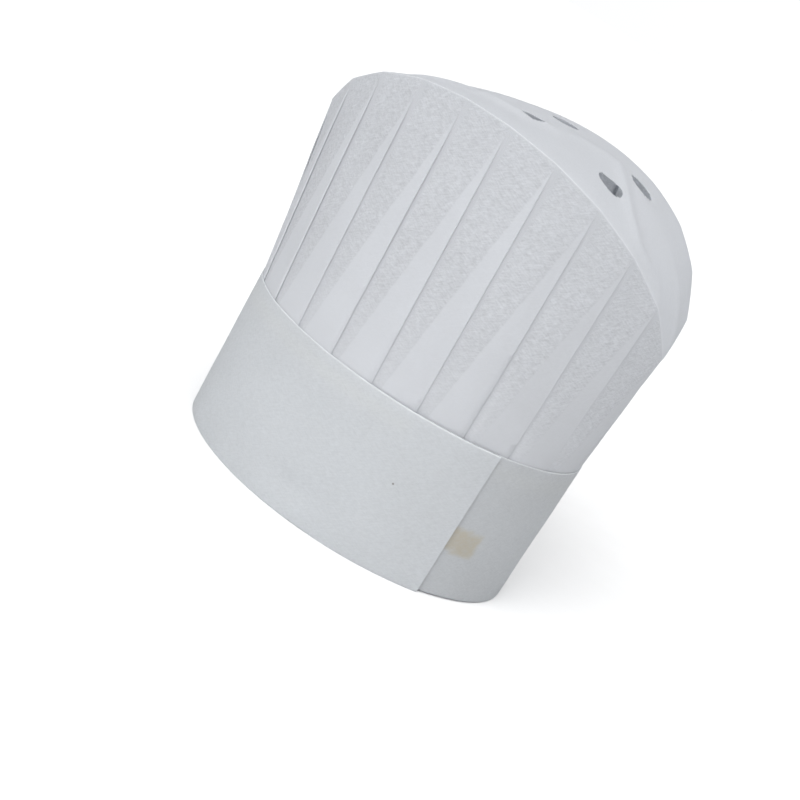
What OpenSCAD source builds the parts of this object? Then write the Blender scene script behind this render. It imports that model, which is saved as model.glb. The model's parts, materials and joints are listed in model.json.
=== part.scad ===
// Chef toque in white nonwoven sheet: a knife-pleated crown with a vaulted, vented top,
// held between the two plies of a folded head band that overlaps at the back left.
// +Z up, -Y front, +X the wearer's left. The origin is the centre of the head opening,
// on the plane of the bottom rim. Angles run round the hat from the front (0) past the
// wearer's left (90) to the back (180).

/* [Head band] */
// Half length of the band, front to back, at its bottom rim
band_half_length = 100; // [94:0.5:106]
// Half width of the band, side to side, at its bottom rim
band_half_width = 84; // [79:0.5:90]
// How much further out the band stands at its top edge
band_flare = 1.4; // [0:0.1:3]
// Height of the band
band_height = 84; // [70:1:95]
// Thickness of one ply of the nonwoven sheet
ply = 0.4; // [0.3:0.05:0.5]

/* [Crown] */
// Height of the crown's rim at the sides of the head
rim_height = 225; // [190:1:300]
// How much lower the rim is at the front and the back
rim_drop = 69.6; // [20:0.2:80]
// Half length of the crown at its rim, front to back
rim_half_length = 113.8; // [100:0.2:120]
// Half width of the crown at its rim, side to side
rim_half_width = 84.8; // [78:0.2:95]
// Fullness of the rim seen from above: 2 is an ellipse, less comes to softer points
rim_fullness = 1.75; // [1.6:0.05:2.2]
// How far the rim's oval sits behind the band's (negative is forward)
rim_shift = -4.6; // [-10:0.2:10]
// Rise of the top sheet above the arch between the two sides
lid_rise = 6.2; // [0:0.2:12]
// Length of the pleated edge that is tucked into the band
tuck = 20; // [10:1:30]

/* [Pleats] */
// Number of knife pleats
pleats = 22; // [14:1:26]
// Angle of the first fold, measured along the band from the front
first_fold = 32.3; // [0:0.1:60]
// Turn of each fold's top relative to its bottom
fold_turn = -1.6; // [-2:0.05:2]

/* [Vents] */
// Diameter of the four vent holes
vent_diameter = 15.5; // [8:0.5:20]
// Distance between the holes, side to side
vent_spacing_x = 47; // [30:1:60]
// Distance between the holes, front to back
vent_spacing_y = 53.5; // [30:1:70]
// Sideways place of the middle of the four holes
vent_centre_x = 9.3; // [-15:0.1:15]
// Front to back place of the middle of the four holes
vent_centre_y = 21; // [-20:0.5:25]

/* [Closure] */
// Angle of the flap's root, where the free end begins, measured along the band
flap_root = 114.9; // [108:0.1:122]
// Angle of the flap's free edge, measured along the band
flap_edge = 143.9; // [132:0.1:148]
// Air between the flap and the band under it
flap_gap = 0.3; // [0.3:0.05:0.6]
// Thickness of each adhesive film
glue = 0.15; // [0.1:0.05:0.2]

/* [Hidden] */

steps = 4;                              // straight facets to one pleat
flap_step = 2 * ply + flap_gap;         // how far the band steps in under the flap
slit = 0.5;                             // degrees between the flap's root and the band's start
ramp_front = 84;                        // where the crown starts to step in under the flap
ramp_flat = 152;                        // where the band starts to come back out
ramp_back = 193;                        // where the step has gone
glue_low = 12;                          // lower edge of the glue lines, below the band's top
glue_high = 5;                          // upper edge of the glue lines, below the band's top
lining_short = 2;                       // how much lower the lining ends than the outer ply
press = 0.02;                           // air left on each side of the lining's glue
rim_step = 0.1;                         // height of a pleat's step where it runs out at the rim
step_width = 0.04;                      // width of a pleat's step, as a share of a facet
lid_rings = [1, 0.93, 0.8, 0.62, 0.42, 0.2];

// Layers, as distances inward from the band's outer face
outer_face = 0;
outer_back = ply;
crown_face = outer_back + glue;
crown_back = crown_face + 3 * ply;
lining_face = crown_back + glue;
lining_back = lining_face + ply;

pitch = 360 / pleats;
even = (band_half_length - band_half_width) / (2 * (band_half_length + band_half_width)) * 180 / PI;

// Places round the hat are distances along the band, as a share s of 360 from the front.
// The wall has flat facets, numbered n from the first fold, so that its layers lie face to face.
function place(n) = first_fold + pitch * n / steps;
function facet(s) = (s - first_fold) * steps / pitch;
function angle(s) = s + even * sin(2 * s);
function ease(x) = let (c = min(max(x, 0), 1)) c * c * (3 - 2 * c);
function wrap(s) = s - 360 * floor(s / 360);

// How far a layer steps in under the flap. The band starts there, at the flap's root, and ends
// 360 further on without a step, and the crown runs through.
function band_step(s) = flap_step * (1 - ease((s - ramp_flat) / (ramp_back - ramp_flat)));
function crown_step(s) = wrap(s) > flap_root ? band_step(wrap(s)) :
    flap_step * ease((wrap(s) - ramp_front) / (flap_root - ramp_front));

// A point on the wall: facet number, distance in from the band's outer face, height
function corner(n, inward, z, crown_side) =
    let (s = place(n), step = crown_side ? crown_step(s) : band_step(s),
        out = band_flare * z / band_height - inward - step)
    [(band_half_width + out) * sin(angle(s)), -(band_half_length + out) * cos(angle(s)), z];
function wall(n, inward, z, crown_side) = let (k = floor(n))
    (1 - n + k) * corner(k, inward, z, crown_side) + (n - k) * corner(k + 1, inward, z, crown_side);

// Height of the top sheet over the plan point (x, y), each as a share of the rim's half axes
function spread(x, y) = pow(abs(x), rim_fullness) + pow(abs(y), rim_fullness);
function lid(x, y) = rim_height - rim_drop * (1 - sqrt(max(0, 1 - y * y))) +
    lid_rise * pow(max(0, 1 - spread(x, y)), 0.64) * (1 + 0.7 * y + y * y - 0.7 * x);

// A point of the top sheet: facet number, share of the way to the rim, distance in, distance down
function top(n, share, inward, down) =
    let (t = angle(place(n)) + fold_turn, r = share * pow(spread(sin(t), cos(t)), -1 / rim_fullness),
         x = r * sin(t), y = -r * cos(t))
    [x * (rim_half_width - inward), y * (rim_half_length - inward) + rim_shift, lid(x, y) - down];

// One ring of the crown is, for each pleat, the fold, the step behind it and the next panel
ring_size = pleats * (steps + 1);
function pleat_share(v) = let (j = v % (steps + 1)) j == 0 ? 1 : (j - 1) / steps;
function pleat_facet(v) = let (i = floor(v / (steps + 1)), j = v % (steps + 1))
    steps * i + (j == 1 ? step_width : max(0, j - 1));
function wall_ring(z, face, deep) = [for (v = [0:ring_size - 1])
    wall(pleat_facet(v), face + deep * (1 - pleat_share(v)), z, true)];
function rim_ring(inward, down) = [for (v = [0:ring_size - 1])
    top(pleat_facet(v), 1, inward + rim_step * (1 - pleat_share(v)), down)];
function lid_ring(share, down) = [for (v = [0:ring_size - 1])
    top(pleat_facet(v), share, 0, down)];
function skin(face, deep, inward, down) = concat(
    wall_ring(band_height - tuck, face, deep), wall_ring(band_height, face, deep),
    rim_ring(inward, down), [for (k = [1:len(lid_rings) - 1]) each lid_ring(lid_rings[k], down)],
    [top(0, 0, 0, down)]);

// Triangles between two rings of n points that start at a and b, closed or open
function band_faces(a, b, n, flip) = [for (v = [0:n - 1]) let (w = (v + 1) % n)
    each flip ? [[a + v, b + v, b + w], [a + v, b + w, a + w]]
              : [[a + v, b + w, b + v], [a + v, a + w, b + w]]];
function cap_faces(a, tip, n, flip) = [for (v = [0:n - 1]) let (w = (v + 1) % n)
    flip ? [a + v, tip, a + w] : [a + v, a + w, tip]];

// A strip of the wall between two places along the band, with a section of [inward, z] corners
module strip(from, to, section, crown_side = false) {
    first = facet(from);
    final = facet(to);
    turns = concat([first], [for (k = [ceil(first + 0.1):floor(final - 0.1)]) k], [final]);
    n = len(section);
    last = (len(turns) - 1) * n;
    points = [for (k = turns) each [for (p = section) wall(k, p[0], p[1], crown_side)]];
    sides = [for (k = [0:len(turns) - 2]) each band_faces(k * n, (k + 1) * n, n, true)];
    polyhedron(points, concat(sides, [[for (v = [0:n - 1]) v]],
        [[for (v = [n - 1:-1:0]) last + v]]), convexity = 6);
}
function bar(front, back, low, high) = [[front, low], [front, high], [back, high], [back, low]];

// The crown: one sheet, pleated round its edge and plain across the top, with four vents
module crown() {
    rings = 2 + len(lid_rings);
    tip = rings * ring_size;
    inner = tip + 1;
    outside = skin(crown_face, 2 * ply, 0, 0);
    inside = skin(crown_back, 0, ply, ply);
    color("whitesmoke") difference() {
        polyhedron(concat(outside, inside), concat(
            [for (k = [0:rings - 2]) each band_faces(k * ring_size, (k + 1) * ring_size,
                ring_size, false)],
            cap_faces((rings - 1) * ring_size, tip, ring_size, false),
            [for (k = [0:rings - 2]) each band_faces(inner + k * ring_size,
                inner + (k + 1) * ring_size, ring_size, true)],
            cap_faces(inner + (rings - 1) * ring_size, inner + tip, ring_size, true),
            band_faces(0, inner, ring_size, true)), convexity = 8);
        for (x = [-1, 1], y = [-1, 1])
            translate([vent_centre_x + x * vent_spacing_x / 2,
                       vent_centre_y + y * vent_spacing_y / 2, band_height])
                cylinder(d = vent_diameter, h = 2 * rim_height, $fn = 32);
    }
}

// Outer ply of the band, from under the flap right round to the flap's root
module band_outer() {
    color("white") strip(flap_root + slit, flap_root + 360,
        bar(outer_face, outer_back, 0, band_height));
}

// Inner ply of the band, with the fold that joins it to the outer ply along the bottom rim
module band_lining() {
    color("gainsboro") strip(flap_root + slit, flap_root + 360,
        [[outer_back, 0], [outer_back, ply], [lining_face, ply],
         [lining_face, band_height - lining_short], [lining_back, band_height - lining_short],
         [lining_back, 0]], crown_side = true);
}

// The free end of the band, both plies, which lies over the start of the band
module closure_flap() {
    color("white") strip(flap_root + slit / 2, flap_edge, bar(-flap_step, -flap_step + 2 * ply,
        0, band_height));
}

// Double-sided tape on the band under the flap
module closure_tape() {
    color("wheat") strip(124, 138, bar(outer_face - glue, outer_face, 20, 64));
}

// Tan tape behind the outer ply, which shows through it beside the flap's edge
module seam_tape() {
    color("tan") strip(136, 155, bar(outer_back, crown_face, 27, 40));
}

// Line of glue between the outer ply and the folds of the pleats
module crown_glue() {
    color("ivory") strip(flap_root + slit, flap_root + 360, bar(outer_back, crown_face,
        band_height - glue_low, band_height - glue_high), crown_side = true);
}

// Line of glue between the back of the pleats and the lining
module lining_glue() {
    color("ivory") strip(flap_root + slit, flap_root + 360, bar(crown_back + press,
        lining_face - press, band_height - glue_low, band_height - glue_high), crown_side = true);
}

crown();
band_outer();
band_lining();
closure_flap();
closure_tape();
seam_tape();
crown_glue();
lining_glue();
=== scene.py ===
"""Looks of a pleated nonwoven chef toque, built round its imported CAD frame.

Lengths are metres. Places round the hat are distances along the band, as a share s of 360
from the front, past the wearer's left (90) to the back (180).
"""

import json
import math

import bmesh
import bpy
import numpy as np
from mathutils import Matrix, Vector


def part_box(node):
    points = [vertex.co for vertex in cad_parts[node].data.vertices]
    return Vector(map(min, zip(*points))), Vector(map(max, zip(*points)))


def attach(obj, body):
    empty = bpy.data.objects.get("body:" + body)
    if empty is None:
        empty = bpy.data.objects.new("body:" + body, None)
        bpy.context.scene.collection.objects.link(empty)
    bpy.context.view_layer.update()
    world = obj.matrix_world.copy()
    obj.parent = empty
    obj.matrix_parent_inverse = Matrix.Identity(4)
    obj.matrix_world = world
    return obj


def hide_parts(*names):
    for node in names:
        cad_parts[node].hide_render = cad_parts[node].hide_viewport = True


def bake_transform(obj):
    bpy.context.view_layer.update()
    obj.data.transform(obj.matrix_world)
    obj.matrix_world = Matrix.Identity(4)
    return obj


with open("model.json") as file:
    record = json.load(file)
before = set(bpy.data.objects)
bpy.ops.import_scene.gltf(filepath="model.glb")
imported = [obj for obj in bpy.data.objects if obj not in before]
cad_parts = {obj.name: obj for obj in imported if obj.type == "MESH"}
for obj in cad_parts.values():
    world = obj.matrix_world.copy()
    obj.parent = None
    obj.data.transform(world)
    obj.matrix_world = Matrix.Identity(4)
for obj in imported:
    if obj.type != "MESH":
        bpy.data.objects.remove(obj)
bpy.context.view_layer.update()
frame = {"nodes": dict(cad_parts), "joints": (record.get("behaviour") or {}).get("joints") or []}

MM = 0.001

# ---------------------------------------------------------------- driving sizes
BAND_LOW, BAND_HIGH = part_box("band_outer")
BAND_HEIGHT = BAND_HIGH[2]
FLARE = 1.4 * MM                        # how much wider the band is at its top
HALF_WIDTH = -BAND_LOW[0] - FLARE       # half axes of the band's outer oval, at the bottom
HALF_LENGTH = -BAND_LOW[1] - FLARE
EVEN = math.degrees((HALF_LENGTH - HALF_WIDTH) / (2 * (HALF_LENGTH + HALF_WIDTH)))
ROUND = math.pi * (HALF_LENGTH + HALF_WIDTH)

RIM_HEIGHT = 225 * MM
RIM_DROP = 69.6 * MM
RIM_HALF_LENGTH = 113.8 * MM
RIM_HALF_WIDTH = 84.8 * MM
RIM_FULLNESS = 1.75                     # 2 would be an ellipse seen from above
RIM_SHIFT = -4.6 * MM
RIM_BOW = 0.3                           # how much of the oval's bow the rim keeps between pleats
LID_RISE = 4.8 * MM
LID_WAVE = 0.35 * MM                    # unevenness of the top sheet
WALL_LENGTH = 140 * MM                  # rough way from the band up to the rim
LID_LENGTH = 95 * MM                    # and from the rim to the middle of the top

PLEATS = 22
FIRST_FOLD = 32.3
FOLD_TURN = -1.6                        # of each pleat's top against its foot, in degrees
SIDE_TURN = 2.7                         # and how much more it is just in front of the wearer's ear
SIDE_PLACE, SIDE_WIDTH = 75, 20         # where that is, and how far it reaches
PITCH = 360 / PLEATS

FLAP_ROOT = 114.9
FLAP_EDGE = 143.9
SLIT = 0.5
SPLIT = 105                             # where the flap's mesh takes over the outer ply
RAMP_FRONT, RAMP_FLAT, RAMP_BACK = 84, 152, 193
FLAP_STEP = 1.1 * MM                    # how far the band steps in under the flap

SHEET = 0.3 * MM                        # thickness of one ply
PLY_GAP = 0.37 * MM                     # from the middle of one ply of a pleat to the next
FOLD_LIFT = 0.24 * MM                   # how far a fold stands off the panel it lies on
BEND_REACH = 0.12                       # how far round, in degrees, a fold's bend reaches
FULL_DEPTH = 1.5                        # underlay, in degrees, over which a pleat's plies part
PANEL_BOW = 0.5 * MM
SOFT_WAVE = 0.35 * MM
CROWN_INSET = 0.62 * MM                 # middle of the outermost ply, in from the band's face
TUCK_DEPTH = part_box("crown")[0][2]      # height of the crown's raw edge, inside the band

VENT_RADIUS = 7.75 * MM
VENT_MIDDLE = (9.3 * MM, 21 * MM)       # of the four vents together
VENT_OFF = (23.5 * MM, 26.75 * MM)      # half the distances between them
VENTS = [(VENT_MIDDLE[0] + x * VENT_OFF[0], VENT_MIDDLE[1] + y * VENT_OFF[1])
         for y in (-1, 1) for x in (-1, 1)]


# ---------------------------------------------------------------- the hat's surfaces
def ease(x):
    c = np.clip(x, 0, 1)
    return c * c * (3 - 2 * c)


def near(x, place, width):
    """1 at a place, fading smoothly to 0 on both sides of it."""
    return np.exp(-((x - place) / width) ** 2)


def turn(s):
    """Angle round the oval, in radians, of the place s."""
    return np.radians(s + EVEN * np.sin(np.radians(2 * s)))


def band_step(s):
    """How far the band is set in, where it starts under the flap."""
    return FLAP_STEP * (1 - ease((s - RAMP_FLAT) / (RAMP_BACK - RAMP_FLAT)))


def crown_step(s):
    """How far the crown and the lining are set in under the flap."""
    w = np.mod(s, 360)
    front = FLAP_STEP * ease((w - RAMP_FRONT) / (FLAP_ROOT - RAMP_FRONT))
    return np.where(w > FLAP_ROOT, band_step(w), front)


def wall(s, inward, z):
    """Point on the band's wall, a distance in from its outer face."""
    t, out = turn(s), FLARE * z / BAND_HEIGHT - inward
    return np.stack([(HALF_WIDTH + out) * np.sin(t), -(HALF_LENGTH + out) * np.cos(t),
                     z + 0 * t], -1)


def outward(s):
    """Level direction out of the wall at s."""
    t = turn(s)
    n = np.stack([np.sin(t) / HALF_WIDTH, -np.cos(t) / HALF_LENGTH, 0 * t], -1)
    return n / np.linalg.norm(n, axis=-1, keepdims=True)


def spread(x, y):
    """1 on the rim's outline, for x and y as shares of its half axes."""
    return np.abs(x) ** RIM_FULLNESS + np.abs(y) ** RIM_FULLNESS


def lid_height(x, y):
    """Height of the smooth top sheet; x and y are shares of the rim's half axes."""
    inside = np.clip(1 - spread(x, y), 0, 1)
    arch = RIM_DROP * (1 - np.sqrt(np.clip(1 - y * y, 0, 1)))
    return RIM_HEIGHT - arch + LID_RISE * inside ** 0.64 * (1 + 0.7 * y + y * y - 0.7 * x)


def lid_point(s, share):
    """Point of the smooth top sheet, at a share of the way from its middle to the rim."""
    t = turn(s) + np.radians(FOLD_TURN + SIDE_TURN * near(np.mod(s, 360), SIDE_PLACE, SIDE_WIDTH))
    r = share * spread(np.sin(t), np.cos(t)) ** (-1 / RIM_FULLNESS)
    x, y = r * np.sin(t), -r * np.cos(t)
    return np.stack([x * RIM_HALF_WIDTH, y * RIM_HALF_LENGTH + RIM_SHIFT, lid_height(x, y)], -1)


def rim_point(s):
    """Point of the rim: nearly straight from one pleat's top to the next."""
    n = (s - FIRST_FOLD) / PITCH
    low = np.floor(n)
    share = (n - low)[..., None]
    a, b = lid_point(FIRST_FOLD + PITCH * low, 1.0), lid_point(FIRST_FOLD + PITCH * (low + 1), 1.0)
    straight = a * (1 - share) + b * share
    return straight + RIM_BOW * (lid_point(s, 1.0) - straight)


# ---------------------------------------------------------------- meshes
def new_object(name, vertices, faces):
    """A smooth-shaded mesh object in the scene."""
    mesh = bpy.data.meshes.new(name)
    mesh.from_pydata([tuple(v) for v in vertices], [], faces)
    mesh.validate()
    mesh.polygons.foreach_set("use_smooth", [True] * len(mesh.polygons))
    obj = bpy.data.objects.new(name, mesh)
    bpy.context.scene.collection.objects.link(obj)
    return obj


def add_numbers(obj, name, values):
    """A number at each vertex, for the material to read."""
    data = obj.data.attributes.new(name, "FLOAT", "POINT").data
    data.foreach_set("value", np.asarray(values, np.float32).ravel())


def add_uv(obj, uv):
    """Flat cloth coordinates in metres, one at each vertex."""
    loops = np.zeros(len(obj.data.loops), np.int32)
    obj.data.loops.foreach_get("vertex_index", loops)
    layer = obj.data.uv_layers.new(name="cloth")
    layer.data.foreach_set("uv", np.asarray(uv, np.float32)[loops].ravel())


def thicken(obj, thickness=SHEET):
    """Gives a sheet its thickness and keeps the result."""
    solid = obj.modifiers.new("thickness", "SOLIDIFY")
    solid.thickness = thickness
    solid.offset = 0
    bpy.context.view_layer.update()
    made = bpy.data.meshes.new_from_object(
        obj.evaluated_get(bpy.context.evaluated_depsgraph_get()))
    obj.modifiers.clear()
    old, obj.data = obj.data, made
    bpy.data.meshes.remove(old)
    made.set_sharp_from_angle(angle=math.radians(50))
    return obj


def waves(a, b, seed, count=5):
    """Smooth, repeatable waves of a and b, each from 0 to 1 round or up, within about -1 to 1."""
    random = np.random.default_rng(seed)
    total = 0
    for k in range(count):
        p, q = random.integers(1, 6), random.uniform(0.5, 2.5)
        shift, shift_b = random.uniform(0, 2 * math.pi, 2)
        total = total + np.sin(2 * math.pi * p * a + shift + 1.7 * np.sin(math.pi * q * b + shift_b))
    return total / count


# ---------------------------------------------------------------- crown
SINGLE, OVER = 8, 6                     # strips across a pleat's single and triple parts
DEPTH = 0.80                            # how much of a panel the pleat under it reaches, at the band
DEPTH_TIP = 0.68                        # the same at the front and the back
FOLD_TOP = 0.985                        # how far up the wall a pleat runs
EAR_FOLD_DROP = 0.045                   # and how much less far in front of the ear
WALL_ROWS = 44
LID_RINGS = 62
LID_COLUMNS = PLEATS * SINGLE


def fold_top(fold):
    """How far up the wall a pleat runs before it opens out: less far in front of the ear."""
    return FOLD_TOP - EAR_FOLD_DROP * near(fold % 360, 74, SIDE_WIDTH)


def pleat_depth(v, fold):
    """Depth of a pleat's underlay, as a share of the pitch; v is 0 at the band and 1 at the rim."""
    at_band = DEPTH_TIP + (DEPTH - DEPTH_TIP) * np.abs(np.sin(turn(fold)))
    return at_band * np.clip(1 - v / fold_top(fold), 0, 1)


def pleat_columns():
    """For one pleat, the columns of vertices across its three plies: (part, share of that part)."""
    hidden = [("hidden", a / OVER) for a in range(OVER + 1)]
    single = [("single", a / SINGLE) for a in range(1, SINGLE + 1)]
    over = [("over", a / OVER) for a in range(1, OVER + 1)]
    back = [("return", a / OVER) for a in range(OVER + 1)]
    return hidden + single + over + [("outer turn", 0)] + back + [("inner turn", 0)]


def crown_wall_point(i, part, a, v, z):
    """Middle of the sheet in pleat i, its place, and how far it lies over the pleat's underlay.

    z is None above the band, where v tells the height.
    """
    fold, last = FIRST_FOLD + PITCH * i, FIRST_FOLD + PITCH * (i - 1)
    deep = PITCH * pleat_depth(v, fold)
    deep_last = PITCH * pleat_depth(v, last)
    rise = math.sin(math.pi * min(max(v, 0), 1)) ** 0.7
    turned, turned_last = min(1.0, deep / FULL_DEPTH), min(1.0, deep_last / FULL_DEPTH)
    lift = FOLD_LIFT * rise * turned * (0.75 + 0.35 * math.sin(2.4 * i))
    s, level = {
        "hidden": (last - deep_last * (1 - a), 2 * PLY_GAP * turned_last),
        "single": (last + a * (PITCH - deep), 2 * PLY_GAP * turned_last * (1 - ease(a * 1.15))),
        "over": (fold - deep * (1 - a), -lift * a ** 2.2),
        "outer turn": (fold + BEND_REACH * turned, PLY_GAP / 2 * turned - lift),
        "return": (fold - deep * a, PLY_GAP * turned - lift * (1 - a) ** 2.2),
        "inner turn": (fold - deep - BEND_REACH * turned, 1.5 * PLY_GAP * turned),
    }[part]
    s = np.float64(s)
    across = (s - last) / PITCH
    bow = PANEL_BOW * math.sin(2.1 * i + 1) * math.sin(math.pi * float(np.clip(across, 0, 1)))
    level = level - (bow + SOFT_WAVE * waves(s / 360, v, 11)) * rise
    inset = CROWN_INSET * (1 - v) + SHEET / 2 * v if z is None else CROWN_INSET
    foot = wall(s, inset + crown_step(s), BAND_HEIGHT if z is None else z)
    base = foot if z is not None else foot * (1 - v) + (rim_point(s) - outward(s) * SHEET / 2) * v
    over = across - (1 - pleat_depth(v, fold)) - (v >= fold_top(fold))
    return base - outward(s) * level, s, over


LID_CREASES = [                         # from and to in plan (mm), height and half width (mm)
    ((34, -66), (40, -30), 1.3, 9),
    ((40, -30), (41, -11), 1.8, 7),
    ((41, -11), (30, 6), 1.7, 7),
    ((30, 6), (8, 14), 1.4, 8),
    ((8, 14), (-7, 28), 1.4, 8),
    ((-7, 33), (20, 52), 2.2, 4.5),
    ((20, 52), (34, 64), 2.0, 5),
    ((34, 64), (41, 77), 1.8, 5),
    ((41, 77), (37, 88), 1.5, 4.5),
    ((37, 88), (28, 98), 1.2, 4),
]


def lid_relief(p):
    """Soft creases of the top sheet: how far it is pushed up at each plan point."""
    up = np.zeros(p.shape[:-1])
    for (x0, y0), (x1, y1), height, width in LID_CREASES:
        a, d = np.array([x0, y0]) * MM, np.array([x1 - x0, y1 - y0]) * MM
        along = np.clip(((p[..., :2] - a) @ d) / (d @ d), 0, 1)
        off = np.linalg.norm(p[..., :2] - a - along[..., None] * d, axis=-1)
        up = np.maximum(up, height * MM * np.exp(-(off / (width * MM)) ** 1.7))
    return up


def wall_rows():
    """Rows of the crown's wall, as (share of the way up, height inside the band or None)."""
    rows = [(0.0, z) for z in np.linspace(TUCK_DEPTH, BAND_HEIGHT, 6)[:-1]]
    rows += [(v, None) for v in np.linspace(0, 0.93, WALL_ROWS)]
    rows += [(v, None) for v in (0.94, 0.95, 0.96, 0.97, 0.978, 0.985, 0.991, 0.996)]
    return rows


def add_wall(sheet, columns):
    """Adds the pleated wall's vertices, row by row, and the faces between the rows."""
    rows = wall_rows()
    for v, z in rows:
        for i, part, a in columns:
            p, s, over = crown_wall_point(i, part, a, v, z)
            flat = {"return": 1 - s / 360, "hidden": 0.5 + s / 360}.get(part, s / 360)
            sheet["points"].append(p)
            sheet["overlap"].append(over if z is None else 1)
            sheet["uv"].append((flat * ROUND, p[2]))
            sheet["rim"].append((1 - v) * WALL_LENGTH)
    n = len(columns)
    for r in range(len(rows) - 1):
        for c in range(n):
            d = (c + 1) % n
            sheet["faces"].append((r * n + c, r * n + d, (r + 1) * n + d, (r + 1) * n + c))


def add_lid(sheet):
    """Adds the top sheet's vertices, ring by ring from the rim, and the middle."""
    places = FIRST_FOLD + PITCH * (np.arange(LID_COLUMNS) / SINGLE - 1)
    correction = rim_point(places) - lid_point(places, 1.0)
    for k in range(LID_RINGS):
        share = math.sin(math.pi / 2 * (1 - k / LID_RINGS))
        p = lid_point(places, share) + correction * share ** 12
        p[:, 2] += lid_relief(p) * ease((1 - share) * 9)
        p[:, 2] += LID_WAVE * waves(p[:, 0] / 0.2, p[:, 1] / 0.2, 5) * ease((1 - share) * 5)
        away = (1 - share) * LID_LENGTH + (0 if k == 0 else 0.3 * MM)
        sheet["points"].extend(p)
        sheet["overlap"].extend([1.0] * LID_COLUMNS)
        sheet["uv"].extend(zip(p[:, 0] + 1.0, p[:, 1] * 1.1))
        sheet["rim"].extend([away] * LID_COLUMNS)
    sheet["points"].append(lid_point(np.float64(0), 0.0))
    sheet["overlap"].append(1.0)
    sheet["uv"].append((1.0, RIM_SHIFT))
    sheet["rim"].append(0.1)


def join_lid(sheet, columns, first):
    """Adds the faces from the wall's last row to the rim, and over the top sheet."""
    n = len(columns)
    starts = []
    for i, part, a in columns:
        step = {"hidden": 0, "single": round(a * SINGLE)}.get(part, SINGLE)
        starts.append(first + (i * SINGLE + step) % LID_COLUMNS)
    top = first - n
    for c in range(n):
        d = (c + 1) % n
        if starts[c] == starts[d]:
            sheet["faces"].append((top + c, top + d, starts[c]))
        else:
            sheet["faces"].append((top + c, top + d, starts[d], starts[c]))
    for k in range(LID_RINGS - 1):
        a, b = first + k * LID_COLUMNS, first + (k + 1) * LID_COLUMNS
        for c in range(LID_COLUMNS):
            d = (c + 1) % LID_COLUMNS
            sheet["faces"].append((a + c, a + d, b + d, b + c))
    last = first + (LID_RINGS - 1) * LID_COLUMNS
    middle = len(sheet["points"]) - 1
    for c in range(LID_COLUMNS):
        sheet["faces"].append((last + c, last + (c + 1) % LID_COLUMNS, middle))


def make_crown():
    """The crown: one sheet, pleated round its edge and plain across the top, with four vents."""
    columns = [(i, part, a) for i in range(PLEATS) for part, a in pleat_columns()]
    sheet = {"points": [], "overlap": [], "uv": [], "rim": [], "faces": []}
    add_wall(sheet, columns)
    first = len(sheet["points"])
    add_lid(sheet)
    join_lid(sheet, columns, first)
    points = np.array(sheet["points"])
    faces = punch(points, sheet["faces"], first)
    obj = new_object("crown_sheet", points, faces)
    add_numbers(obj, "overlap", sheet["overlap"])
    add_numbers(obj, "lid", [0.0] * first + [1.0] * (len(points) - first))
    add_numbers(obj, "rim", sheet["rim"])
    add_uv(obj, sheet["uv"])
    drop_loose(obj)
    return obj


def punch(points, faces, first):
    """Cuts the round vents: drops the faces inside each, and moves the edge's vertices onto it."""
    for centre in VENTS:
        plan = points[:, :2] - np.array(centre)
        away = np.hypot(*plan.T)
        away[:first] = 1
        inner = away < VENT_RADIUS - 0.35 * MM
        kept, dropped = [], []
        for f in faces:
            (dropped if any(inner[v] for v in f) else kept).append(f)
        edge = {v for f in dropped for v in f if not inner[v]}
        for v in edge:
            points[v, :2] += plan[v] * (VENT_RADIUS / away[v] - 1)
        faces = kept
    return faces


def drop_loose(obj):
    """Removes vertices that no face uses, joins those that meet, and turns faces outward."""
    b = bmesh.new()
    b.from_mesh(obj.data)
    bmesh.ops.delete(b, geom=[v for v in b.verts if not v.link_faces], context="VERTS")
    bmesh.ops.remove_doubles(b, verts=b.verts, dist=0.001 * MM)
    bmesh.ops.recalc_face_normals(b, faces=b.faces)
    b.to_mesh(obj.data)
    b.free()


# ---------------------------------------------------------------- band, flap and tapes
def strip(name, places, section, shape, use=None):
    """A sheet over places round the hat and rows of a section: shape(s, row) gives each point."""
    n = len(section)
    points = np.array([[shape(np.float64(s), row) for row in section] for s in places])
    faces = [(i * n + j, i * n + j + 1, (i + 1) * n + j + 1, (i + 1) * n + j)
             for i in range(len(places) - 1) for j in range(n - 1)
             if use is None or use((places[i] + places[i + 1]) / 2, j)]
    obj = new_object(name, points.reshape(-1, 3), faces)
    add_uv(obj, [(s / 360 * ROUND, row[1] if row[0] == "outer" else -row[1])
                 for s in places for row in section])
    add_numbers(obj, "outer", [1.0 if row[0] == "outer" else 0.0 for s in places for row in section])
    drop_loose(obj)
    return obj


OUTER_IN = SHEET / 2 + 0.01 * MM        # middle of the outer ply, in from the outer face
INNER_IN = 0.78 * MM                    # middle of the inner ply below the pleats
LINING_IN = 1.85 * MM                   # middle of the inner ply behind the pleats
LINING_TOP = BAND_HEIGHT - 2 * MM
FLAP_PLIES = 0.38 * MM                  # between the middles of the flap's two plies
FOLD_ROWS = [("fold", 0.45 * MM, 0.08), ("fold", 0.15 * MM, 0.5), ("fold", 0.45 * MM, 0.92)]
CORNER_DROP = 0.8 * MM                  # how much lower the flap's corner hangs than the band
BAND_WAVE = 0.45 * MM
EAR_DENT = 1.5 * MM                     # the band's dent over the ear
EAR_PLACE, EAR_HEIGHT = 93, 16 * MM
HEM = 0.9 * MM                          # where the folded lower edge begins to turn
OUTER_ROWS, INNER_ROWS = 34, 26         # rows of vertices up each ply


def band_section():
    """Rows down the outer ply, round the fold and up the inner ply: (part, height, way across)."""
    outer = [("outer", z, 0) for z in np.linspace(BAND_HEIGHT, HEM, OUTER_ROWS)]
    inner = [("inner", z, 1) for z in np.linspace(HEM, LINING_TOP, INNER_ROWS)]
    return outer + FOLD_ROWS + inner


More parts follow.
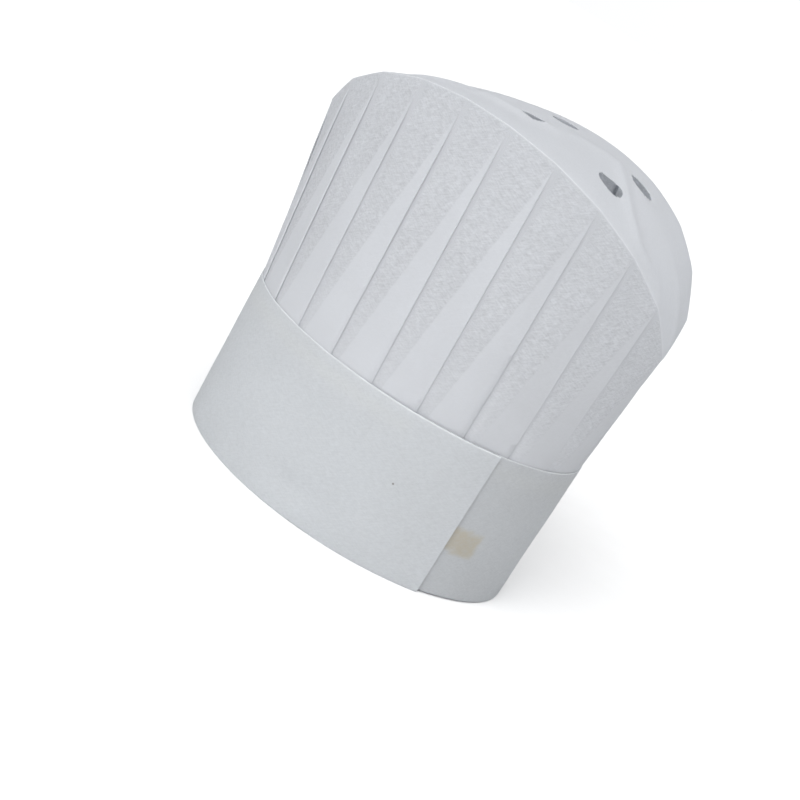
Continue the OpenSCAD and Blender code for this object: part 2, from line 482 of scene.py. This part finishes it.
def band_wave(s, z):
    """Soft unevenness of the band, still at its two edges."""
    up = z / BAND_HEIGHT
    soft = BAND_WAVE * waves(s / 360, up, 3) * np.sin(math.pi * np.clip(up, 0, 1)) ** 0.6
    dent = EAR_DENT * near(np.mod(s, 360), EAR_PLACE, 11) * near(z, EAR_HEIGHT, 7 * MM)
    return soft - dent


def band_shape(s, row):
    """Point of the strip, the inner ply stepping in behind the pleats."""
    part, z, across = row
    behind = INNER_IN + (LINING_IN - INNER_IN) * ease((z - 54 * MM) / (12 * MM))
    inward = {"outer": OUTER_IN, "inner": behind}.get(part, OUTER_IN + across * (INNER_IN - OUTER_IN))
    step = band_step(s) * (1 - across) + crown_step(s) * across
    lifted = z + CORNER_DROP * band_step(s) / FLAP_STEP * (1 - z / BAND_HEIGHT)
    return wall(s, inward + step - band_wave(s, z), lifted)


def make_band():
    """The strip: both plies from under the flap right round, less the outer ply that the flap has."""
    start, split, end = FLAP_ROOT + SLIT, SPLIT + 360, FLAP_ROOT + 360
    places = np.concatenate([np.linspace(start, split, 350), np.linspace(split, end, 10)[1:]])
    return thicken(strip("band_strip", places, band_section(), band_shape,
                         use=lambda s, j: s < split or j > OUTER_ROWS))


def flap_shape(s, row):
    """Point of the flap, its free edge curling slightly outward."""
    part, z, across = row
    free = ease((s - FLAP_EDGE + 12) / 12)
    curl = free * (0.55 * MM * (1 - z / BAND_HEIGHT) ** 2 + 0.2 * MM * (z / BAND_HEIGHT) ** 3)
    inner = OUTER_IN + FLAP_PLIES
    inward = {"outer": OUTER_IN, "inner": inner}.get(part, OUTER_IN + across * FLAP_PLIES)
    fade = 1 - ease((s - FLAP_EDGE + 10) / 10)
    return wall(s, inward - curl - band_wave(s, z) * fade, z)


def make_flap():
    """The free end, with both plies behind its root and the outer ply a little in front of it."""
    root = FLAP_ROOT + SLIT
    places = np.concatenate([np.linspace(SPLIT, root, 14), np.linspace(root, FLAP_EDGE, 40)[1:]])
    return thicken(strip("flap_strip", places, band_section(), flap_shape,
                         use=lambda s, j: s > root or j <= OUTER_ROWS))


TAPE_COLUMNS = 40


def make_tape(name, start, end, low, high, inward, seed):
    """A length of tape lying on the band's wall, with slightly uneven edges."""
    random = np.random.default_rng(seed)
    ragged = random.normal(0, 0.25 * MM, (64, 2))
    places = np.linspace(start, end, TAPE_COLUMNS)
    rows = [("outer", share, 0) for share in np.linspace(0, 1, 16)]

    def shape(s, row):
        k = int(round((s - start) / (end - start) * (TAPE_COLUMNS - 1)))
        z = low + ragged[k, 0] + (high - low + ragged[k, 1] - ragged[k, 0]) * row[1]
        return wall(s, inward + band_step(s) - band_wave(s, z), z)

    return thicken(strip(name, places, rows, shape), 0.1 * MM)


# ---------------------------------------------------------------- materials
CROWN_COLOUR = (0.835, 0.848, 0.870)
BAND_COLOUR = (0.800, 0.818, 0.835)
CLEAR_COLOUR = (0.84, 0.82, 0.74)
TAN_COLOUR = (0.70, 0.58, 0.38)
GLUE_COLOUR = (0.82, 0.79, 0.68)
SPECK_COLOUR = (0.16, 0.13, 0.10, 1)
SINGLE_PLY_SHADE = 0.93                  # painted shade: a single ply of the crown, darker beside the three of a pleat as the dark inside shows through
WEDGE_BACK_SHADE = 0.965                 # painted shade: the three plies at the back, darker so they show less, as the panels there turn from the light
BEHIND_FLAP_SHADE = 0.92                        # painted shade: the band under the flap and past its edge, darker as one ply over the dark inside
LET_THROUGH = 0.54                      # share of the light that goes through the cloth
SPECK_PLACE = (119.4 / 360 * ROUND / MM, 46.7, 0)     # of the dark speck on the flap, in mm
TAPE_PATCHES = [                        # where the tan tape shows: middles and half sizes, in mm
    ((146.0 / 360 * ROUND / MM, 33.5), (8.0, 6.3)),
    ((151.5 / 360 * ROUND / MM, 32.0), (6.5, 6.8)),
]
TAPE_SHOW = (0.66, 0.60, 0.46, 1.0)


class Nodes:
    """Short calls for building a node material."""

    def __init__(self, name):
        self.material = bpy.data.materials.new(name)
        self.material.use_nodes = True
        self.tree = self.material.node_tree
        self.tree.nodes.clear()

    def add(self, kind, inputs=None, **settings):
        node = self.tree.nodes.new(kind)
        for key, value in settings.items():
            setattr(node, key, value)
        for key, value in (inputs or {}).items():
            socket = node.inputs[key]
            if isinstance(value, bpy.types.NodeSocket):
                self.tree.links.new(value, socket)
            else:
                socket.default_value = value
        return node

    def number(self, operation, a, b=0.0, c=0.0):
        return self.add("ShaderNodeMath", {0: a, 1: b, 2: c}, operation=operation).outputs[0]

    def ramp(self, value, low, high, start=0.0, end=1.0):
        node = self.add("ShaderNodeMapRange", {"Value": value, "From Min": low, "From Max": high,
                                               "To Min": start, "To Max": end},
                        interpolation_type="SMOOTHSTEP")
        return node.outputs["Result"]

    def attribute(self, name):
        return self.add("ShaderNodeAttribute", attribute_name=name).outputs["Fac"]

    def noise(self, vector, scale, detail=2.0, rough=0.5, turn=0.0, stretch=1.0, distort=0.0):
        """Noise over cloth coordinates in millimetres, stretched along a turned direction."""
        placed = self.add("ShaderNodeMapping", {
            "Vector": vector, "Rotation": (0, 0, math.radians(turn)),
            "Scale": (stretch / scale, 1 / scale, 1 / scale)}, vector_type="TEXTURE")
        return self.add("ShaderNodeTexNoise", {"Vector": placed.outputs[0], "Scale": 1.0,
                                               "Detail": detail, "Roughness": rough,
                                               "Distortion": distort}).outputs["Fac"]

    def grey_times(self, colour, factor):
        """A colour times a number."""
        node = self.add("ShaderNodeVectorMath", {0: colour, "Scale": factor}, operation="SCALE")
        return node.outputs[0]


def cloth_mm(m):
    """Flat cloth coordinates in millimetres."""
    uv = m.add("ShaderNodeUVMap", uv_map="cloth").outputs[0]
    return m.add("ShaderNodeVectorMath", {0: uv, "Scale": 1000.0}, operation="SCALE").outputs[0]


def fibres(m, cloth):
    """Laid fibres of a spunlace sheet: crossing streaks and a finer mottle, each about 0 to 1."""
    streaks = [m.noise(cloth, 1.3, 2.0, 0.6, turn, 4.5, 0.6) for turn in (33, -24)]
    crossed = m.number("MULTIPLY", m.number("ADD", *streaks), 0.5)
    mottle = m.noise(cloth, 0.6, 4.0, 0.7, 33, 1.8)
    return crossed, mottle


def swing(m, value, amount):
    """A number around zero, from one around a half."""
    return m.number("MULTIPLY", m.number("SUBTRACT", value, 0.5), amount)


def finish_cloth(m, colour, height, let_through):
    """The cloth's shader: matt, slightly sheened, and letting some light through."""
    grain = m.noise(cloth_mm(m), 3.0, 2.0)
    bump = m.add("ShaderNodeBump", {"Height": height, "Distance": 0.12 * MM, "Strength": 0.6})
    skin = m.add("ShaderNodeBsdfPrincipled", {
        "Base Color": colour, "Roughness": m.ramp(grain, 0.2, 0.8, 0.78, 0.92),
        "Specular IOR Level": 0.25, "Sheen Weight": 0.06, "Sheen Roughness": 0.5,
        "Normal": bump.outputs[0]})
    through = m.add("ShaderNodeBsdfTranslucent", {"Color": colour, "Normal": bump.outputs[0]})
    mixed = m.add("ShaderNodeMixShader", {"Fac": let_through, 1: skin.outputs[0],
                                          2: through.outputs[0]})
    m.add("ShaderNodeOutputMaterial", {"Surface": mixed.outputs[0]})
    return m.material


def crown_material():
    """The crown's cloth: even where plies overlap, and more fibrous where it is single; painted shade
    darkens the single ply and the three plies at the back, and a painted highlight runs along the rim.
    """
    m = Nodes("crown_nonwoven")
    cloth = cloth_mm(m)
    crossed, mottle = fibres(m, cloth)
    cloud = m.noise(cloth, 0.03, 2.0)
    wander = swing(m, m.noise(cloth, 0.12, 2.0), 0.05)
    plies = m.ramp(m.number("ADD", m.attribute("overlap"), wander), -0.05, 0.05)
    solid = m.number("MAXIMUM", plies, m.number("MULTIPLY", m.attribute("lid"), 0.8))
    # painted highlight along the rim's crease, broken up by noise; the cloth there also lets less light
    # through
    rim_highlight = m.number("SUBTRACT", 1.0, m.ramp(m.attribute("rim"), 0.1 * MM, 0.8 * MM))
    rim_highlight = m.number("MULTIPLY", rim_highlight, m.ramp(m.noise(cloth, 0.15, 3.0, 0.6), 0.35, 0.65))
    grain = m.number("ADD", swing(m, mottle, 0.28), swing(m, crossed, 0.54))
    grain = m.number("MULTIPLY", grain, m.ramp(solid, 0.0, 1.0, 1.0, 0.20))
    grain = m.number("MULTIPLY", grain, m.ramp(m.attribute("rim"), 0.08, 0.14, 1.0, 0.4))
    # painted shade: a single ply darker than the three of a pleat, a little less so near the band
    single = m.ramp(m.attribute("rim"), 0.08, 0.14, SINGLE_PLY_SHADE, SINGLE_PLY_SHADE + 0.025)
    round_mm = m.add("ShaderNodeSeparateXYZ", {0: cloth}).outputs[0]
    # painted shade on the three plies of the pleats at the back
    behind = m.ramp(round_mm, 118 / 360 * ROUND / MM, 140 / 360 * ROUND / MM, 1.0, WEDGE_BACK_SHADE)
    wedge = m.number("MAXIMUM", behind, m.attribute("lid"))
    tone = m.number("ADD", m.number("MAXIMUM", single, m.ramp(solid, 0.0, 1.0, 0.9, wedge)), grain)
    tone = m.number("ADD", tone, swing(m, cloud, 0.05))
    # adds the painted highlight along the rim
    tone = m.number("ADD", tone, m.number("MULTIPLY", rim_highlight, 0.02))
    colour = m.grey_times(CROWN_COLOUR, tone)
    height = m.number("ADD", m.number("MULTIPLY", crossed, 0.6), m.number("MULTIPLY", mottle, 0.6))
    through = m.number("MULTIPLY_ADD", rim_highlight, -0.22 * LET_THROUGH, LET_THROUGH)
    return finish_cloth(m, colour, height, through)


def band_material(name, colour, behind):
    """The band's cloth, with a painted highlight along its top edge; behind is true for the strip that
    goes on under the flap, which also gets painted shade past the flap's edge and shows the tan tape
    through it.
    """
    m = Nodes(name)
    cloth = cloth_mm(m)
    crossed, mottle = fibres(m, cloth)
    grain = m.number("ADD", swing(m, mottle, 0.14), swing(m, crossed, 0.24))
    tone = m.number("ADD", m.number("ADD", 1.0, grain), swing(m, m.noise(cloth, 0.035, 2.0), 0.05))
    split = m.add("ShaderNodeSeparateXYZ", {0: cloth})
    x, z = split.outputs[0], split.outputs[1]
    # painted highlight along the band's top edge, uneven along its length; the cloth there also lets less
    # light through
    edge = m.ramp(z, BAND_HEIGHT / MM - 0.8, BAND_HEIGHT / MM - 0.2)
    edge = m.number("MULTIPLY", edge, m.ramp(m.noise(cloth, 0.2, 3.0, 0.6), 0.3, 0.65, 0.35, 1.0))
    edge = m.number("MULTIPLY", edge, m.ramp(x, ROUND / MM / 12, ROUND / MM / 4, 0.4, 1.0))
    if behind:
        # painted shade of the dark inside through one ply, from under the flap to past its edge, fading
        # out towards the back
        thin = m.ramp(x, 156 / 360 * ROUND / MM, 205 / 360 * ROUND / MM, BEHIND_FLAP_SHADE, 1.0)
        tone = m.number("MULTIPLY", tone, thin)
    # adds the painted highlight along the top edge
    tone = m.number("ADD", tone, m.number("MULTIPLY", edge, 0.035))
    shade = m.grey_times(colour, tone)
    if behind:
        shade = tape_shows(m, shade, cloth, x, z, mottle)
    else:
        spot = m.add("ShaderNodeVectorMath", {0: cloth, 1: SPECK_PLACE}, operation="DISTANCE")
        speck = m.number("MULTIPLY", m.ramp(spot.outputs["Value"], 0.35, 0.75, 1.0, 0.0), 0.6)
        shade = m.add("ShaderNodeMix", {0: speck, 6: shade, 7: SPECK_COLOUR},
                      data_type="RGBA").outputs[2]
    height = m.number("ADD", m.number("MULTIPLY", crossed, 0.4), m.number("MULTIPLY", mottle, 0.4))
    through = m.number("MULTIPLY_ADD", edge, -0.6 * LET_THROUGH, LET_THROUGH)
    return finish_cloth(m, shade, height, through)


def tape_shows(m, shade, cloth, x, z, mottle):
    """Tints the ply where the tan tape behind it shows through, blurred by the fibres."""
    drift = swing(m, m.noise(cloth, 0.13, 3.0, 0.6), 5.0)
    away = None
    for (x0, z0), (half_x, half_z) in TAPE_PATCHES:
        side = m.number("ABSOLUTE", m.number("ADD", m.number("SUBTRACT", x, x0), drift))
        rise = m.number("ABSOLUTE", m.number("ADD", m.number("SUBTRACT", z, z0), drift))
        far = m.number("MAXIMUM", m.number("SUBTRACT", side, half_x),
                       m.number("SUBTRACT", rise, half_z))
        away = far if away is None else m.number("MINIMUM", away, far)
    seen = m.number("MULTIPLY", m.ramp(away, -2.2, 1.6, 1.0, 0.0), m.ramp(mottle, 0.2, 0.7, 0.3, 0.62))
    mixed = m.add("ShaderNodeMix", {0: m.number("MULTIPLY", seen, m.attribute("outer")),
                                    6: shade, 7: TAPE_SHOW}, data_type="RGBA")
    return mixed.outputs[2]


def film_material(name, colour, rough):
    """Tape or glue: a thin film with small bubbles and creases."""
    m = Nodes(name)
    place = m.add("ShaderNodeTexCoord").outputs["Object"]
    mm = m.add("ShaderNodeVectorMath", {0: place, "Scale": 1000.0}, operation="SCALE").outputs[0]
    patches = m.noise(mm, 0.3, 3.0, 0.6)
    fine = m.noise(mm, 2.0, 2.0, 0.5)
    tone = m.number("ADD", 0.9, swing(m, patches, 0.35))
    bump = m.add("ShaderNodeBump", {"Height": m.number("ADD", patches, m.number("MULTIPLY", fine, 0.3)),
                                    "Distance": 0.1 * MM, "Strength": 0.4})
    skin = m.add("ShaderNodeBsdfPrincipled", {
        "Base Color": m.grey_times(colour, tone), "Roughness": m.ramp(fine, 0.2, 0.8, rough, rough + 0.2),
        "Normal": bump.outputs[0]})
    m.add("ShaderNodeOutputMaterial", {"Surface": skin.outputs[0]})
    return m.material


def dress(obj, material, body, slot, *nodes):
    """Gives a piece its material and body, in place of CAD nodes; slot is not used."""
    obj.data.materials.clear()
    obj.data.materials.append(material)
    if body:
        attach(obj, body)
    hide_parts(*nodes)
    return obj


# ---------------------------------------------------------------- the pieces
def build_hat():
    """All the pieces: the crown, band and tapes each on its body, the flap on none, and the glue lines
    given their material.
    """
    band_cloth = band_material("band_nonwoven", BAND_COLOUR, True)
    crown = dress(thicken(make_crown()), crown_material(), "hat", "crown_sheet", "crown")
    band = dress(make_band(), band_cloth, "hat", "band_sheet", "band_outer", "band_lining")
    flap = make_flap()
    hinge = frame["joints"][0]
    base = Vector(hinge["pos_m"])
    along = Vector((-base.y / HALF_LENGTH * HALF_WIDTH, base.x / HALF_WIDTH * HALF_LENGTH, 0))
    along.normalize()
    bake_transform(flap)
    dress(flap, band_material("flap_nonwoven", BAND_COLOUR, False), None, "band_sheet",
          "closure_flap")
    tape = make_tape("flap_tape", 124, 138, 20 * MM, 64 * MM, inward=-0.08 * MM, seed=7)
    dress(tape, film_material("clear_tape", CLEAR_COLOUR, 0.25), "hat", "clear_tape", "closure_tape")
    tan = make_tape("tan_tape", 136.5, 156.5, 27 * MM, 39.5 * MM, inward=0.42 * MM, seed=8)
    dress(tan, film_material("tan_tape", TAN_COLOUR, 0.5), "hat", "tan_tape", "seam_tape")
    glue = film_material("glue", GLUE_COLOUR, 0.35)
    for node in ("crown_glue", "lining_glue"):
        line = frame["nodes"][node]
        line.data.materials.clear()
        line.data.materials.append(glue)


# ---------------------------------------------------------------- floor, light and camera
FLOOR_COLOUR = (0.965, 0.965, 0.965)
FLOOR_RADIUS = 9.0
FLOOR_CORNERS = 64
SKY_PARTS = [                           # along an axis, from one place and strength to another
    ("Z", 0.03, 0.28, 1.03, 0.20),
    ("Z", 0.45, 0.95, 0.0, 0.82),
    ("Y", -0.85, -0.2, -0.14, 0.0),
]
CAMERA_AZIMUTH, CAMERA_ELEVATION, CAMERA_ROLL = 110.08, 11.78, 30.76
CAMERA_DISTANCE = 0.888                 # from the point in the hat that it is placed round
CAMERA_MIDDLE = Vector((0, 0, 0.130))
CAMERA_AIM = (-0.71 * MM, -67.1 * MM)   # to the right of that point and above it
CAMERA_LENS = 75.69                     # millimetres, on a sensor 36 mm wide


def make_floor():
    """A wide round floor, pale and matt."""
    mesh = bpy.data.meshes.new("floor")
    turns = np.linspace(0, 2 * math.pi, FLOOR_CORNERS + 1)[:-1]
    ring = [(FLOOR_RADIUS * math.cos(a), FLOOR_RADIUS * math.sin(a), 0) for a in turns]
    mesh.from_pydata(ring, [], [tuple(range(FLOOR_CORNERS))])
    floor = bpy.data.objects.new("floor", mesh)
    bpy.context.scene.collection.objects.link(floor)
    m = Nodes("floor_paint")
    place = m.add("ShaderNodeTexCoord").outputs["Object"]
    speck = m.add("ShaderNodeTexNoise", {"Vector": place, "Scale": 40.0, "Detail": 3.0}).outputs["Fac"]
    paint = m.add("ShaderNodeBsdfPrincipled", {
        "Base Color": m.grey_times(FLOOR_COLOUR, m.ramp(speck, 0.2, 0.8, 0.99, 1.01)),
        "Roughness": 0.9, "Specular IOR Level": 0.1})
    m.add("ShaderNodeOutputMaterial", {"Surface": paint.outputs[0]})
    mesh.materials.append(m.material)


def make_world():
    """A soft studio: a pale backdrop all round at floor level, dimmer above, bright overhead."""
    world = bpy.data.worlds.new("studio")
    bpy.context.scene.world = world
    world.use_nodes = True
    tree = world.node_tree
    tree.nodes.clear()
    links = tree.links.new
    split = tree.nodes.new("ShaderNodeSeparateXYZ")
    links(tree.nodes.new("ShaderNodeTexCoord").outputs["Generated"], split.inputs[0])
    total = None
    for axis, low, high, start, end in SKY_PARTS:
        part = tree.nodes.new("ShaderNodeMapRange")
        part.interpolation_type = "SMOOTHSTEP"
        for key, value in {"From Min": low, "From Max": high, "To Min": start, "To Max": end}.items():
            part.inputs[key].default_value = value
        links(split.outputs[axis], part.inputs["Value"])
        if total is None:
            total = part.outputs["Result"]
        else:
            add = tree.nodes.new("ShaderNodeMath")
            links(total, add.inputs[0])
            links(part.outputs["Result"], add.inputs[1])
            total = add.outputs[0]
    sky = tree.nodes.new("ShaderNodeBackground")
    sky.inputs["Color"].default_value = (0.985, 0.99, 1.0, 1.0)
    links(total, sky.inputs["Strength"])
    out = tree.nodes.new("ShaderNodeOutputWorld")
    links(sky.outputs[0], out.inputs["Surface"])


def direction(azimuth, elevation):
    """Unit vector towards an azimuth and an elevation, both in degrees."""
    a, e = math.radians(azimuth), math.radians(elevation)
    return Vector((math.sin(a) * math.cos(e), -math.cos(a) * math.cos(e), math.sin(e)))


def sun(name, azimuth, elevation, strength, width):
    """A wide soft light; azimuth is where it stands, as for the camera."""
    data = bpy.data.lights.new(name, "SUN")
    data.energy = strength
    data.angle = math.radians(width)
    lamp = bpy.data.objects.new(name, data)
    lamp.rotation_mode = "QUATERNION"
    lamp.rotation_quaternion = direction(azimuth, elevation).to_track_quat("Z", "Y")
    bpy.context.scene.collection.objects.link(lamp)


def make_camera():
    """The camera stands behind the wearer's left shoulder and is rolled, so the hat leans."""
    roll = math.radians(CAMERA_ROLL)
    back = direction(CAMERA_AZIMUTH, CAMERA_ELEVATION)
    place = CAMERA_MIDDLE + back * CAMERA_DISTANCE
    right = (-back).cross(Vector((0, 0, 1))).normalized()
    up = right.cross(-back)
    target = CAMERA_MIDDLE + right * CAMERA_AIM[0] + up * CAMERA_AIM[1]
    aim = (target - place).normalized()
    right = aim.cross(Vector((0, 0, 1))).normalized()
    up = right.cross(aim)
    x = right * math.cos(roll) + up * math.sin(roll)
    y = up * math.cos(roll) - right * math.sin(roll)
    data = bpy.data.cameras.new("camera")
    data.sensor_width = 36
    data.lens = CAMERA_LENS
    data.clip_start, data.clip_end = 0.05, 50
    camera = bpy.data.objects.new("camera", data)
    turned = Matrix((x, y, -aim)).transposed().to_4x4()
    camera.matrix_world = Matrix.Translation(place) @ turned
    bpy.context.scene.collection.objects.link(camera)
    bpy.context.scene.camera = camera


make_camera()
make_floor()
make_world()
sun("key", 88, 43, 1.84, 50)
sun("top", 110, 78, 0.64, 70)
bpy.context.scene.view_settings.view_transform = "Standard"
build_hat()
